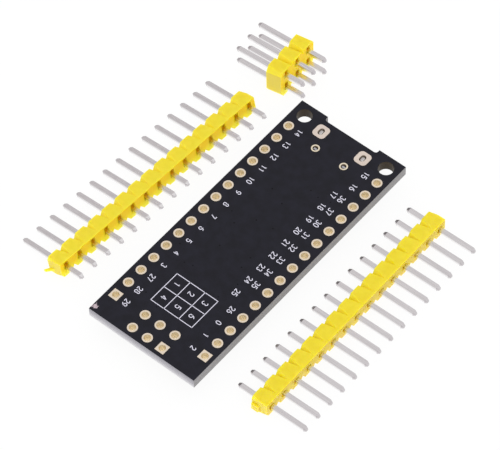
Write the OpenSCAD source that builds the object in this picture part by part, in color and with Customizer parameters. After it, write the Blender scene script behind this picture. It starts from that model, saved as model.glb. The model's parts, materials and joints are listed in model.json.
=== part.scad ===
// Small controller board with a micro USB socket, lying with its component side down,
// and its three loose pin headers, lying beside it.
// +Z is up, Z = 0 is the table, +Y points to the USB end of the board.

/* [Board] */
// Width of the board across the pin rows
board_w = 17.9; // [16:0.1:22]
// Length of the board
board_len = 43.9; // [43.6:0.1:60]
// Thickness of the board
board_t = 1.6; // [1:0.1:2]
// Distance from the middle of the pin rows to the USB edge
usb_edge_y = 22.3; // [22:0.1:25]
// Width of the notch in the USB edge
notch_w = 8.9; // [8.3:0.1:9.4]
// Depth of the notch in the USB edge
notch_d = 0.7; // [0.5:0.1:1]
// Radius of the notch's inner corners
notch_r = 0.4; // [0.1:0.05:0.45]

/* [Pin rows] */
// Distance between neighbouring header holes
pitch = 2.54; // [2.5:0.01:2.6]
// Header holes in each row
row_count = 15; // [14:1:15]
// Distance from a pin row to the board's long edge
row_edge = 1.33; // [1.1:0.01:1.4]
// Programming holes in each of their two rows
isp_count = 3; // [2:1:4]
// Diameter of a round pad, and width of a square one
pad_d = 1.45; // [1.35:0.05:1.6]
// Diameter of a finished header hole
hole_d = 1; // [0.9:0.05:1.1]
// Thickness of the plating in the holes
plate_t = 0.05; // [0.03:0.01:0.08]
// Thickness of the pads on both faces
land_t = 0.05; // [0.03:0.01:0.08]

/* [Mounting holes] */
// Diameter of a mounting hole
mount_d = 2.2; // [2:0.1:2.4]
// Distance from a mounting hole to the board's long edge
mount_side = 1.925; // [1.7:0.025:2]
// Distance from the mounting holes to the USB edge
mount_edge = 1.85; // [1.6:0.05:2]

/* [USB socket] */
// Height of the shell over its pads
usb_h = 2.45; // [2.3:0.05:2.8]
// Depth of the shell behind the board's edge
usb_len = 5.6; // [5.5:0.1:6]
// Thickness of the shell's sheet
usb_wall = 0.3; // [0.2:0.05:0.3]
// Width of the shell's narrow side, against the board
usb_foot_w = 5.6; // [5.5:0.1:5.8]
// Outer radius of the shell's two round corners
usb_corner_r = 0.5; // [0.4:0.05:0.7]
// Length of the flared lips at the mouth
lip_len = 0.45; // [0.3:0.05:0.5]
// How far the lips flare out
lip_flare = 0.25; // [0.1:0.05:0.3]
// Distance between the two front legs
leg_gap = 7.15; // [7:0.05:7.3]
// Width of a front leg
leg_w = 0.7; // [0.5:0.05:0.75]
// Distance from the front legs to the USB edge
leg_edge = 2.53; // [2.4:0.05:2.7]
// Width of the pad round a front leg
anchor_w = 2; // [1.9:0.05:2.1]
// Length of the pad round a front leg
anchor_len = 2.1; // [1.9:0.05:2.3]
// Corner radius of the pad round a front leg
anchor_r = 0.6; // [0.3:0.05:0.7]
// Width of the plated slot for a front leg
slot_w = 0.8; // [0.7:0.05:0.9]
// Length of the plated slot for a front leg
slot_len = 1.15; // [1.1:0.05:1.4]
// Distance between the two rear pegs
peg_gap = 4.85; // [4.7:0.05:4.9]
// Width of a rear peg
peg_w = 0.5; // [0.4:0.05:0.55]
// Distance from the rear pegs to the USB edge
peg_edge = 5.18; // [5.1:0.02:5.2]
// Diameter of the pad round a rear peg
peg_pad_d = 1.2; // [1.15:0.05:1.4]
// Diameter of the plated hole for a rear peg
peg_hole_d = 0.8; // [0.75:0.05:0.9]
// How far legs, pegs and solder stop short of the board's back
leg_recess = 0.12; // [0.05:0.01:0.3]
// Thickness of the plastic block at the back of the socket
block_t = 1.1; // [0.9:0.1:1.3]
// Width of the plastic tongue
tongue_w = 3.9; // [3.6:0.1:4.2]
// Thickness of the plastic tongue
tongue_t = 0.6; // [0.5:0.05:0.7]
// Height of the tongue over the pads
tongue_up = 1.2; // [1.1:0.05:1.3]
// How far the tongue stops short of the board's edge
tongue_recess = 1.1; // [0.9:0.1:1.5]
// Contacts in the socket
contact_count = 5; // [3:1:5]
// Distance between neighbouring contacts
contact_pitch = 0.65; // [0.6:0.05:0.7]
// Width of a contact
contact_w = 0.3; // [0.2:0.05:0.35]
// Thickness of a contact
contact_t = 0.12; // [0.1:0.02:0.16]
// Length of a contact's foot behind the shell
contact_foot = 0.8; // [0.6:0.1:1]
// Width of a latch window in the shell
window_w = 0.9; // [0.6:0.1:1.2]
// Length of a latch window in the shell
window_len = 2; // [1.6:0.1:2.4]
// Distance between the two latch windows
window_gap = 3; // [2.6:0.1:3.4]

/* [Controller chip] */
// Width of the chip's square body
mcu_w = 7; // [6.6:0.1:7.2]
// Thickness of the chip's body
mcu_h = 1; // [0.8:0.1:1.2]
// Width of the round mark in the corner of the first lead
mark_d = 0.7; // [0.5:0.1:0.9]
// Depth of that mark
mark_depth = 0.1; // [0.05:0.05:0.15]
// Distance of that mark from two sides of the chip
mark_in = 1.3; // [1.1:0.1:1.6]
// Gap between a chip's body and its pads
standoff = 0.1; // [0.05:0.05:0.15]
// Leads on each side of the chip
lead_count = 8; // [6:1:8]
// Distance between neighbouring leads
lead_pitch = 0.8; // [0.7:0.05:0.8]
// Width of a lead
lead_w = 0.37; // [0.3:0.01:0.4]
// Thickness of a lead
lead_t = 0.15; // [0.12:0.01:0.18]
// Reach of a lead from the chip's side
lead_reach = 1; // [0.9:0.05:1.1]
// Height of the upright band at a moulded body's parting line
parting_h = 0.22; // [0.18:0.02:0.3]
// How far a moulded body tapers in from its parting line
draft = 0.12; // [0.05:0.01:0.16]

/* [Reset switch] */
// Distance from the first programming row to the switch
switch_up = 4.4; // [4.2:0.1:4.6]
// Length of the switch's base
switch_len = 6; // [5.6:0.1:6.4]
// Width of the switch's base
switch_w = 3.1; // [3:0.1:3.3]
// Height of the base over its pads
switch_h = 1.75; // [1.65:0.05:1.85]
// Thickness of the metal cover
cover_t = 0.2; // [0.15:0.05:0.25]
// Length of the cover's folded sides, measured down from the base's top
cover_skirt = 0.9; // [0.6:0.1:1.2]
// Length of the plunger
plunger_len = 2.9; // [2.6:0.1:3.2]
// Width of the plunger
plunger_w = 1.5; // [1.3:0.1:1.6]
// How far the plunger's flange reaches under the cover
flange_lip = 0.2; // [0.15:0.05:0.25]
// Thickness of the plunger's flange
flange_t = 0.28; // [0.2:0.02:0.32]
// Running gap round the plunger
plunger_gap = 0.1; // [0.08:0.01:0.14]
// Diameter of the nub that presses the dome
nub_d = 0.9; // [0.7:0.1:1]
// Floor of the base under the dome
floor_t = 0.65; // [0.5:0.05:0.7]
// Diameter of the snap dome
dome_d = 1.9; // [1.7:0.1:2]
// Height of the snap dome
dome_h = 0.4; // [0.35:0.05:0.45]
// Thickness of the dome's sheet
dome_t = 0.06; // [0.05:0.01:0.08]
// How far the cover stops short of the base's ends
cover_inset = 0.5; // [0.3:0.1:0.8]
// Width of a switch terminal
terminal_w = 1; // [0.8:0.1:1.2]
// Reach of a switch terminal from the base's end
terminal_reach = 1.1; // [0.9:0.1:1.2]
// Height of a switch terminal where it leaves the base
terminal_up = 0.5; // [0.4:0.05:0.6]

/* [Small parts] */
// Length of a chip resistor or capacitor
chip_len = 1.6; // [1.5:0.05:1.7]
// Width of a chip resistor or capacitor
chip_w = 0.8; // [0.7:0.05:0.9]
// Thickness of a chip resistor
resistor_h = 0.45; // [0.35:0.05:0.55]
// Thickness of a chip capacitor
capacitor_h = 0.8; // [0.6:0.05:0.9]
// Length of a metal end cap
cap_len = 0.3; // [0.2:0.05:0.4]
// Thickness of a metal end cap
cap_t = 0.04; // [0.03:0.01:0.06]
// Thickness of a light emitting diode's base
led_base_h = 0.3; // [0.25:0.05:0.4]
// Height of a light emitting diode's lens over its base
led_lens_h = 0.4; // [0.3:0.05:0.5]
// Length of the crystal
crystal_len = 5; // [4.6:0.1:5.2]
// Width of the crystal
crystal_w = 3.2; // [3:0.1:3.4]
// Thickness of the crystal's ceramic base
crystal_base_h = 0.6; // [0.5:0.05:0.7]
// Height of the crystal's metal lid
crystal_lid_h = 0.5; // [0.4:0.05:0.6]
// Border of the ceramic round the lid
crystal_rim = 0.2; // [0.15:0.05:0.3]
// Length of the regulator's body
regulator_len = 4.5; // [4.3:0.1:4.6]
// Width of the regulator's body
regulator_w = 2.5; // [2.4:0.1:2.6]
// Thickness of the regulator's body
regulator_h = 1.5; // [1.3:0.1:1.6]
// Distance between the regulator's leads
regulator_pitch = 1.5; // [1.4:0.05:1.55]
// Width of a regulator lead
regulator_lead_w = 0.46; // [0.4:0.02:0.52]
// Thickness of the regulator's leads and tab
regulator_lead_t = 0.4; // [0.3:0.05:0.45]
// Width of the regulator's tab
regulator_tab_w = 1.7; // [1.5:0.1:1.8]
// How far the regulator's leads stand out
regulator_lead_out = 1; // [0.8:0.1:1.1]
// How far the regulator's tab stands out
regulator_tab_out = 0.5; // [0.3:0.1:0.7]
// How far leads and tab run into the regulator's body
regulator_lead_in = 0.5; // [0.4:0.05:0.6]
// Length of a data line diode's body
zener_len = 1.7; // [1.6:0.05:1.8]
// Width of a data line diode's body
zener_w = 1.25; // [1.15:0.05:1.35]
// Thickness of a data line diode's body
zener_h = 0.9; // [0.8:0.05:1]
// Length of the power diode's body
diode_len = 2.7; // [2.5:0.05:2.8]
// Width of the power diode's body
diode_w = 1.6; // [1.5:0.05:1.8]
// Thickness of the power diode's body
diode_h = 1.1; // [1:0.05:1.2]
// Reach of a diode's lead from its body
diode_reach = 0.5; // [0.4:0.05:0.55]
// Width of a data line diode's lead
zener_lead_w = 0.32; // [0.25:0.01:0.4]
// Width of the power diode's lead
diode_lead_w = 0.6; // [0.5:0.05:0.8]
// Border of a solder pad round the metal that stands on it
land_border = 0.12; // [0.05:0.01:0.14]

// Length of each of the crystal's pads
crystal_land_len = 1.3; // [1:0.1:1.6]
// Width of each of the crystal's pads
crystal_land_w = 2.2; // [2:0.1:2.6]

/* [Places on the component side] */
// Distance along the board from the chip's middle to a capacitor at its corner
mcu_capacitor_y = 4.6; // [4.2:0.1:4.7]
// Distance from the outermost small parts to the nearer pin row
outer_gap = 1.82; // [1.7:0.02:2]
// Distance between neighbouring small parts
part_step = 1.6; // [1.5:0.05:1.65]

/* [Headers] */
// Width of a square pin
pin_w = 0.64; // [0.5:0.02:0.7]
// Length of a pin on its long side
pin_long = 5.8; // [5:0.1:8]
// Length of a pin on its short side
pin_short = 3; // [2.8:0.1:4]
// Length of a pin's tapered tip
pin_taper = 0.4; // [0.2:0.05:0.6]
// Width of a pin's end
pin_tip_w = 0.34; // [0.2:0.02:0.44]
// Height of a housing along its pins
housing_h = 2.5; // [2.3:0.05:2.6]
// Width of a housing that holds one row
housing_w = 2.5; // [2.3:0.05:2.6]
// Half the width of a break-off groove at its deep end
groove_w = 0.55; // [0.4:0.05:0.65]
// Depth of a strip's groove at its deep end
groove_d = 0.8; // [0.5:0.05:0.9]
// Run of a strip's groove until its floor has risen to the surface
groove_run = 2.1; // [1.6:0.05:2.3]
// Depth of the two-row block's groove at its deep end
block_groove_d = 1.05; // [0.6:0.05:1.1]
// Run of the block's groove until its floor would reach the surface
block_groove_run = 4.8; // [2.5:0.1:6]
// Plastic lost at each snapped end of a strip
snap_gap = 0.2; // [0.1:0.05:0.3]
// Length along the strip of the pocket beside a pin on the short side
pocket_len = 0.75; // [0.7:0.05:1.1]
// Reach of that pocket from the pin's middle toward the upper face
pocket_up = 1.05; // [0.6:0.05:1.1]
// Depth of that pocket
pocket_d = 0.7; // [0.4:0.05:0.9]
// Width of the lead-in round a pin on the long side
lead_in_w = 0.95; // [0.8:0.05:1.1]
// Depth of the lead-in on the long side
lead_in_d = 0.35; // [0.2:0.05:0.5]
// Length of the thin flake torn out at the left strip's snapped end
flake_len = 0.9; // [0.5:0.05:1.1]
// Slant of that flake toward the long side
flake_slant = 0.7; // [0.3:0.05:0.9]
// Width of that flake where it leaves the housing
flake_w = 0.6; // [0.4:0.05:0.8]
// Thickness of that flake
flake_t = 0.3; // [0.2:0.05:0.4]
// Height of that flake above the housing's lower face
flake_up = 0.6; // [0.4:0.05:0.9]
// Length of the stubs of torn web at the right strip's two ends
stub_len = 0.35; // [0.2:0.05:0.5]
// Width of those stubs, which stand nearer the short side
stub_w = 1.4; // [1:0.1:1.8]
// Thickness of those stubs
stub_t = 1.2; // [0.8:0.1:1.4]

/* [Layout on the table] */
// Middle of the board's pin rows, across
board_x = 0.5; // [-2:0.1:2]
// Middle of the board's pin rows, along
board_y = -4.6; // [-8:0.1:0]
// Middle of the left strip's housing, across
left_x = -16.5; // [-20:0.1:-15.5]
// Middle of the left strip's housing, along
left_y = -4.1; // [-10:0.05:0]
// Turn of the left strip
left_turn = -2.97; // [-5:0.01:5]
// Middle of the right strip's housing, across
right_x = 17.1; // [16.5:0.1:20]
// Middle of the right strip's housing, along
right_y = -3.7; // [-10:0.1:0]
// Turn of the right strip
right_turn = 0.62; // [-5:0.01:5]
// Middle of the two-row block's housing, across
block_x = -14.4; // [-18:0.1:-13]
// Middle of the two-row block's housing, along
block_y = 22.3; // [21.5:0.1:26]
// Turn of the two-row block
block_turn = 3.74; // [-10:0.01:10]

/* [Hidden] */
$fn = 48;

// Overshoot of a cutting tool past the face that it opens
cut = 0.2;
// Slack between pieces that rest against each other and still move
slack = 0.02;

// The board lies level on the USB shell and on the reset plunger
board_z = usb_h + land_t;
plunger_top = usb_h;

// Places on the board, from the middle of its pin rows
row_x = board_w / 2 - row_edge;
mount_x = board_w / 2 - mount_side;
isp_y = -(row_count - 1) / 2 * pitch;
mount_y = usb_edge_y - mount_edge;
leg_y = usb_edge_y - leg_edge;
peg_y = usb_edge_y - peg_edge;
leg_tip = board_t - leg_recess;
usb_back_y = usb_edge_y - usb_len;
usb_mouth_y = usb_edge_y - lip_len;
usb_half_w = (leg_gap + usb_wall) / 2;
usb_rise = usb_half_w - usb_foot_w / 2;
outer_x = row_x - outer_gap;
inner_x = outer_x - part_step;
switch_y = isp_y + switch_up;

// Rows of parts, evenly spread between the feet of the USB contacts and the reset switch
data_half = diode_len / 2 + diode_reach;
tab_half = regulator_w / 2 + regulator_tab_out;
lead_half = regulator_w / 2 + regulator_lead_out;
crystal_half = crystal_w / 2;
mcu_half = (mcu_w / 2 + lead_reach + (lead_count - 1) / 2 * lead_pitch + lead_w / 2) / sqrt(2);
rows_top = usb_back_y - contact_t - contact_foot;
rows_end = switch_y + switch_w / 2 + cover_t;
rows_len = 2 * data_half + tab_half + lead_half + 2 * crystal_half + 2 * mcu_half;
rows_gap = (rows_top - rows_end - rows_len) / 5;
data_row_y = rows_top - rows_gap - data_half;
power_row_y = data_row_y - data_half - rows_gap - tab_half;
crystal_row_y = power_row_y - lead_half - rows_gap - crystal_half;
mcu_y = crystal_row_y - crystal_half - rows_gap - mcu_half;

// Each place is across, along and turn. The parts of the data line row are evenly spread
data_parts = 6;
data_step = 2 * outer_x / (data_parts - 1);
data_row = [for (i = [0:data_parts - 1]) [along(data_parts, i, data_step), data_row_y, 90]];
diode_spot = data_row[0];
zener_spots = [data_row[1], data_row[2]];
resistor_spots = [
    data_row[3], data_row[4], data_row[5],
    [-inner_x, power_row_y, 90], [outer_x, crystal_row_y, 90], [outer_x, switch_y, 90]
];
capacitor_spots = [
    [part_step - inner_x, power_row_y, 90], [outer_x, power_row_y, 90],
    [-inner_x, crystal_row_y, 90], [inner_x, crystal_row_y, 90],
    [-outer_x, mcu_y + mcu_capacitor_y, 90], [outer_x, mcu_y - mcu_capacitor_y, 90],
    [-outer_x, switch_y, 90]
];
led_spots = [[-outer_x, power_row_y, 90], [-outer_x, crystal_row_y, 90]];
regulator_spot = [part_step, power_row_y, 0];
crystal_spot = [0, crystal_row_y, 0];
mcu_spot = [0, mcu_y, 45];
switch_spot = [0, switch_y, 0];

// The flange of the plunger runs in a cavity of the switch's base
flange_top = switch_h - slack;
flange_len = plunger_len + 2 * flange_lip;
flange_w = plunger_w + 2 * flange_lip;

// The left strip leans on its housing's edge and on the shoulders of its long pins
lean = atan((housing_w - pin_w) / 2 / (pin_long - pin_taper));
lean_z = (housing_h * sin(lean) + housing_w * cos(lean)) / 2;
block_w = housing_w + pitch;
strip_len = row_count * pitch - 2 * snap_gap;

// Offset of one of a row of things from the row's middle
function along(count, i, step = pitch) = (i - (count - 1) / 2) * step;

// Points of a round corner
function arc(x, y, r, from, to, steps = 8) =
    [for (i = [0:steps]) let (a = from + (to - from) * i / steps) [x + r * cos(a), y + r * sin(a)]];

// Board frame: Z = 0 is the component face, Z points to the back
module on_board(x = 0, y = 0) translate([board_x + x, board_y + y, board_z]) children();

// Part frame: Z = 0 is the top of the solder pads, Z points away from the board
module on_parts(spot = [0, 0, 0])
    translate([board_x + spot[0], board_y + spot[1], board_z - land_t])
        rotate(spot[2]) mirror([0, 0, 1]) children();

module at_spots(spots) for (s = spots) on_parts(s) children();

module pair(gap, y = 0) for (side = [-1, 1]) translate([side * gap / 2, y]) children();

module ends() for (turn = [0, 180]) rotate(turn) children();

module box(x, y, z) translate([-x / 2, -y / 2, 0]) cube([x, y, z]);

module rounded(w, h, r) {
    square([w - 2 * r, h], center = true);
    square([w, h - 2 * r], center = true);
    for (x = [-1, 1], y = [-1, 1]) translate([x * (w / 2 - r), y * (h / 2 - r)]) circle(r);
}

module stadium(w, h) {
    square([w, h - w], center = true);
    for (y = [-1, 1]) translate([0, y * (h - w) / 2]) circle(d = w);
}

// Extrudes an outline of across and up along Y, centred
module along_y(len) rotate([90, 0, 0]) linear_extrude(len, center = true) children();

// Extrudes an outline of along and up along X, centred
module along_x(len) rotate([90, 0, 90]) linear_extrude(len, center = true) children();

// Board

module board_outline() difference() {
    translate([-board_w / 2, usb_edge_y - board_len]) square([board_w, board_len]);
    translate([0, usb_edge_y]) rounded(notch_w, 2 * notch_d, notch_r);
}

module pad_places() {
    for (i = [0:row_count - 1]) pair(2 * row_x, along(row_count, i)) children();
    for (i = [0:isp_count - 1], y = [isp_y, isp_y - pitch]) translate([along(isp_count, i), y]) children();
}

module circuit_board() color("#28282e") on_board() difference() {
    linear_extrude(board_t) board_outline();
    translate([0, 0, -cut]) linear_extrude(board_t + 2 * cut) {
        pad_places() circle(d = hole_d + 2 * plate_t);
        pair(2 * mount_x, mount_y) circle(d = mount_d);
        pair(leg_gap, leg_y) stadium(slot_w + 2 * plate_t, slot_len + 2 * plate_t);
        pair(peg_gap, peg_y) circle(d = peg_hole_d + 2 * plate_t);
    }
}

// Plated holes: a barrel through the board with a flat pad on each face

module ring_pad(outer_d, inner_d) rotate_extrude() polygon([
    [inner_d / 2, -land_t], [outer_d / 2, -land_t], [outer_d / 2, 0], [inner_d / 2 + plate_t, 0],
    [inner_d / 2 + plate_t, board_t], [outer_d / 2, board_t], [outer_d / 2, board_t + land_t],
    [inner_d / 2, board_t + land_t]
]);

module square_pad() difference() {
    union() {
        for (z = [-land_t, board_t]) translate([0, 0, z]) box(pad_d, pad_d, land_t);
        cylinder(d = hole_d + 2 * plate_t, h = board_t);
    }
    translate([0, 0, -cut]) cylinder(d = hole_d, h = board_t + 2 * cut);
}

module row_pads(x) for (i = [0:row_count - 1]) on_board(x, along(row_count, i))
    if (i == 0) square_pad();
    else ring_pad(pad_d, hole_d);

module left_row_pads() color("#f0dec3") row_pads(-row_x);

module right_row_pads() color("#f0dec3") row_pads(row_x);

module isp_pads() color("#f0dec3")
    for (i = [0:isp_count - 1], row = [0, 1]) on_board(along(isp_count, i), isp_y - row * pitch)
        if (row == 1 && i == isp_count - 1) square_pad();
        else ring_pad(pad_d, hole_d);

module usb_anchor_pads() color("#e1d0bc") on_board() pair(leg_gap, leg_y) difference() {
    union() {
        for (z = [-land_t, board_t]) translate([0, 0, z])
            linear_extrude(land_t) rounded(anchor_w, anchor_len, anchor_r);
        linear_extrude(board_t) stadium(slot_w + 2 * plate_t, slot_len + 2 * plate_t);
    }
    translate([0, 0, -cut]) linear_extrude(board_t + 2 * cut) stadium(slot_w, slot_len);
}

module usb_peg_pads() color("#e1d0bc") on_board() pair(peg_gap, peg_y) ring_pad(peg_pad_d, peg_hole_d);

// Solder pads of the small parts, in one layer on the component face

module land(x, y, w, h) translate([x, y, -land_t]) box(w + 2 * land_border, h + 2 * land_border, land_t);

module lead_lands(body_len, reach, w) ends()
    land(body_len / 2 + reach - foot(reach) / 2, 0, foot(reach), w);

module component_pads() color("#d9d4cc") {
    at_spots(concat(resistor_spots, capacitor_spots, led_spots))
        ends() land((chip_len - cap_len) / 2, 0, cap_len, chip_w);
    at_spots(zener_spots) lead_lands(zener_len, diode_reach, zener_lead_w);
    on_parts(diode_spot) lead_lands(diode_len, diode_reach, diode_lead_w);
    on_parts(switch_spot) lead_lands(switch_len, terminal_reach, terminal_w);
    on_parts(crystal_spot) ends()
        land((crystal_len - crystal_land_len) / 2, 0, crystal_land_len, crystal_land_w);
    on_parts(regulator_spot) translate([0, 0, -land_t]) regulator_frame(land_t);
    on_parts(mcu_spot) mcu_sides() land(lead_reach - foot(lead_reach) / 2, 0, foot(lead_reach), lead_w);
    on_parts() contact_row() land(0, usb_back_y - contact_t - contact_foot / 2, contact_w, contact_foot);
}

// Micro USB socket

function usb_section(inset) =
    let (
        w = usb_half_w - inset,
        r = usb_corner_r - inset,
        top = usb_h - inset,
        foot_x = usb_foot_w / 2 - inset * (sqrt(2) - 1),
        side_z = usb_rise + inset * (sqrt(2) - 1)
    )
    concat(
        [[-foot_x, inset], [foot_x, inset], [w, side_z]],
        arc(w - r, top - r, r, 0, 90), arc(r - w, top - r, r, 90, 180),
        [[-w, side_z]]
    );

module usb_shell() color("#c9c9cc") on_parts() {
    difference() {
        translate([0, (usb_back_y + usb_mouth_y) / 2]) along_y(usb_len - lip_len) difference() {
            polygon(usb_section(0));
            polygon(usb_section(usb_wall));
        }
        pair(window_gap, (usb_back_y + usb_mouth_y) / 2)
            translate([0, 0, usb_h - usb_wall - cut]) box(window_w, window_len, usb_wall + 2 * cut);
    }
    for (side = [0, 1]) mirror([side, 0, 0]) {
        translate([0, 0, usb_rise]) linear_extrude(usb_h - usb_corner_r - usb_rise) side_lip();
        translate([leg_gap / 2, leg_y, -leg_tip - land_t])
            box(usb_wall, leg_w, leg_tip + land_t + usb_h - usb_corner_r);
        translate([peg_gap / 2, peg_y, -leg_tip - land_t])
            box(peg_w, usb_wall, leg_tip + land_t + usb_wall);
    }
    along_x(usb_foot_w - 2 * usb_wall) board_lip();
}

module side_lip() polygon([
    [usb_half_w - usb_wall, usb_mouth_y], [usb_half_w, usb_mouth_y],
    [usb_half_w + lip_flare, usb_edge_y], [usb_half_w + lip_flare - usb_wall, usb_edge_y]
]);

module board_lip() polygon([
    [usb_mouth_y, 0], [usb_edge_y, -lip_flare], [usb_edge_y, usb_wall - lip_flare], [usb_mouth_y, usb_wall]
]);

module contact_row() for (i = [0:contact_count - 1])
    translate([along(contact_count, i, contact_pitch), 0, 0]) children();

module contact() let (
    tip = usb_edge_y - tongue_recess - usb_wall,
    back = usb_back_y - contact_t,
    low = tongue_up - contact_t
) along_x(contact_w) polygon([
    [tip, low], [back, low], [back, 0], [back - contact_foot, 0], [back - contact_foot, contact_t],
    [back - contact_t, contact_t], [back - contact_t, tongue_up], [tip, tongue_up]
]);

module usb_contacts() color("#d8b45a") on_parts() contact_row() contact();

module usb_insulator() color("#1c1c1e") on_parts() difference() {
    union() {
        translate([0, usb_back_y + usb_wall + block_t / 2]) along_y(block_t) polygon(usb_section(usb_wall));
        translate([-tongue_w / 2, usb_back_y + usb_wall, tongue_up])
            cube([tongue_w, usb_len - usb_wall - tongue_recess, tongue_t]);
    }
    contact_row() contact();
}

// Solder fills the plated slots and holes round the shell's legs and pegs
module usb_leg_solder() color("#c4c0ba") on_board() linear_extrude(leg_tip) {
    pair(leg_gap, leg_y) difference() {
        stadium(slot_w, slot_len);
        square([usb_wall, leg_w], center = true);
    }
    pair(peg_gap, peg_y) difference() {
        circle(d = peg_hole_d);
        square([peg_w, usb_wall], center = true);
    }
}

// Moulded bodies and their bent leads

function draft_section(w, h) = [
    [-w / 2 + draft, 0], [w / 2 - draft, 0], [w / 2, (h - parting_h) / 2], [w / 2, (h + parting_h) / 2],
    [w / 2 - draft, h], [-w / 2 + draft, h], [-w / 2, (h + parting_h) / 2], [-w / 2, (h - parting_h) / 2]
];

module moulded(l, w, h) translate([0, 0, standoff]) intersection() {
    along_y(w) polygon(draft_section(l, h));
    along_x(l) polygon(draft_section(w, h));
}

// Half of a bent lead's reach is its flat foot
function foot(reach) = reach / 2;

module bent_lead(reach, up, w) let (
    knee = reach / 4,
    heel = reach - foot(reach),
    low = up - lead_t / 2,
    high = up + lead_t / 2
) along_y(w) polygon([
    [0, low], [knee - lead_t / 2, low], [heel - lead_t / 2, 0], [reach, 0], [reach, lead_t],
    [heel + lead_t / 2, lead_t], [knee + lead_t / 2, high], [0, high]
]);

module lead_pair(body_len, reach, up, w) ends() translate([body_len / 2, 0, 0]) bent_lead(reach, up, w);

module mcu_sides() for (side = [0:3], i = [0:lead_count - 1])
    rotate(90 * side) translate([mcu_w / 2, along(lead_count, i, lead_pitch), 0]) children();

module mcu_body() color("#2a2a2c") on_parts(mcu_spot) difference() {
    moulded(mcu_w, mcu_w, mcu_h);
    translate([mark_in - mcu_w / 2, mark_in - mcu_w / 2, standoff + mcu_h - mark_depth])
        cylinder(d = mark_d, h = mark_depth + cut);
}

module mcu_leads() color("#c8c8c8") on_parts(mcu_spot)
    mcu_sides() bent_lead(lead_reach, standoff + mcu_h / 2, lead_w);

module zener_bodies() color("#3a2a26") at_spots(zener_spots) moulded(zener_len, zener_w, zener_h);

module zener_leads() color("#c8c8c8") at_spots(zener_spots)
    lead_pair(zener_len, diode_reach, standoff + zener_h / 2, zener_lead_w);

module power_diode_body() color("#2a2a2c") on_parts(diode_spot) moulded(diode_len, diode_w, diode_h);

module power_diode_leads() color("#c8c8c8") on_parts(diode_spot)
    lead_pair(diode_len, diode_reach, standoff + diode_h / 2, diode_lead_w);

// Regulator: three leads and a tab, cast into the foot of the body

module regulator_frame(h) linear_extrude(h) {
    lead_y = -(regulator_w + regulator_lead_out - regulator_lead_in) / 2;
    lead_len = regulator_lead_out + regulator_lead_in;
    tab_y = (regulator_w + regulator_tab_out - regulator_lead_in) / 2;
    for (x = [-1, 0, 1]) translate([x * regulator_pitch, lead_y])
        square([regulator_lead_w, lead_len], center = true);
    translate([0, tab_y]) square([regulator_tab_w, regulator_tab_out + regulator_lead_in], center = true);
    square([regulator_lead_w, regulator_w], center = true);
}

module regulator_leads() color("#c8c8c8") on_parts(regulator_spot) regulator_frame(regulator_lead_t);

module regulator_body() color("#2a2a2c") on_parts(regulator_spot) difference() {
    translate([0, 0, -standoff]) moulded(regulator_len, regulator_w, regulator_h);
    translate([0, 0, -cut]) regulator_frame(regulator_lead_t + cut);
}

// Crystal

module crystal_base() color("#c9b98f") on_parts(crystal_spot) box(crystal_len, crystal_w, crystal_base_h);

module crystal_lid() color("#d5d5d8") on_parts(crystal_spot) translate([0, 0, crystal_base_h])
    linear_extrude(crystal_lid_h)
        rounded(crystal_len - 2 * crystal_rim, crystal_w - 2 * crystal_rim, crystal_rim);

// Reset switch

module switch_base() color("#1f1f21") on_parts(switch_spot) difference() {
    translate([0, 0, standoff]) box(switch_len, switch_w, switch_h - standoff);
    translate([0, 0, floor_t])
        box(flange_len + 2 * plunger_gap, flange_w + 2 * plunger_gap, switch_h - floor_t + cut);
}

module switch_cover() color("#c9c9cc") on_parts(switch_spot) difference() {
    translate([0, 0, switch_h - cover_skirt])
        box(switch_len - 2 * cover_inset, switch_w + 2 * cover_t, cover_skirt + cover_t);
    translate([0, 0, switch_h - cover_skirt - cut]) box(switch_len, switch_w, cover_skirt + cut);
    translate([0, 0, switch_h - cut]) linear_extrude(cover_t + 2 * cut) rotate(90)
        stadium(plunger_w + 2 * plunger_gap, plunger_len + 2 * plunger_gap);
}

module switch_terminals() color("#c8c8c8") on_parts(switch_spot)
    lead_pair(switch_len, terminal_reach, terminal_up, terminal_w);

module switch_dome() color("#c9c9cc") on_parts(switch_spot) translate([0, 0, floor_t]) rotate_extrude() {
    sphere_r = (dome_d * dome_d / 4 + dome_h * dome_h) / (2 * dome_h);
    centre_z = dome_h - sphere_r;
    outer_a = acos(-centre_z / sphere_r);
    inner_a = acos(-centre_z / (sphere_r - dome_t));
    polygon(concat(
        arc(0, centre_z, sphere_r, 90 - outer_a, 90),
        arc(0, centre_z, sphere_r - dome_t, 90, 90 - inner_a)
    ));
}

module reset_plunger() color("#e8e6e0") on_parts(switch_spot) {
    translate([0, 0, flange_top - flange_t]) linear_extrude(flange_t) rotate(90)
        stadium(flange_w, flange_len);
    translate([0, 0, flange_top]) linear_extrude(plunger_top - flange_top) rotate(90)
        stadium(plunger_w, plunger_len);
    translate([0, 0, floor_t + dome_h + slack])
        cylinder(d = nub_d, h = flange_top - flange_t - floor_t - dome_h - slack);
}

// Chip parts: a ceramic body between two metal caps

module chip_body(h, side_t = 0) translate([0, 0, cap_t])
    box(chip_len - 2 * cap_t, chip_w - 2 * side_t, h - 2 * cap_t);

module chip_caps(h, side_t = 0) difference() {
    ends() translate([(chip_len - cap_len) / 2, 0, 0]) box(cap_len, chip_w, h);
    translate([0, 0, cap_t])
        box(chip_len - 2 * cap_t, side_t > 0 ? chip_w - 2 * side_t : chip_w + cut, h - 2 * cap_t);
}

module chip_resistors() color("#26262a") at_spots(resistor_spots) chip_body(resistor_h);

module resistor_caps() color("#cfcfd2") at_spots(resistor_spots) chip_caps(resistor_h);

module chip_capacitors() color("#b08a5e") at_spots(capacitor_spots) chip_body(capacitor_h, cap_t);

module capacitor_caps() color("#cfcfd2") at_spots(capacitor_spots) chip_caps(capacitor_h, cap_t);

module led_bases() color("#f2f0ea") at_spots(led_spots) chip_body(led_base_h);

module led_caps() color("#d8b45a") at_spots(led_spots) chip_caps(led_base_h);

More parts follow.
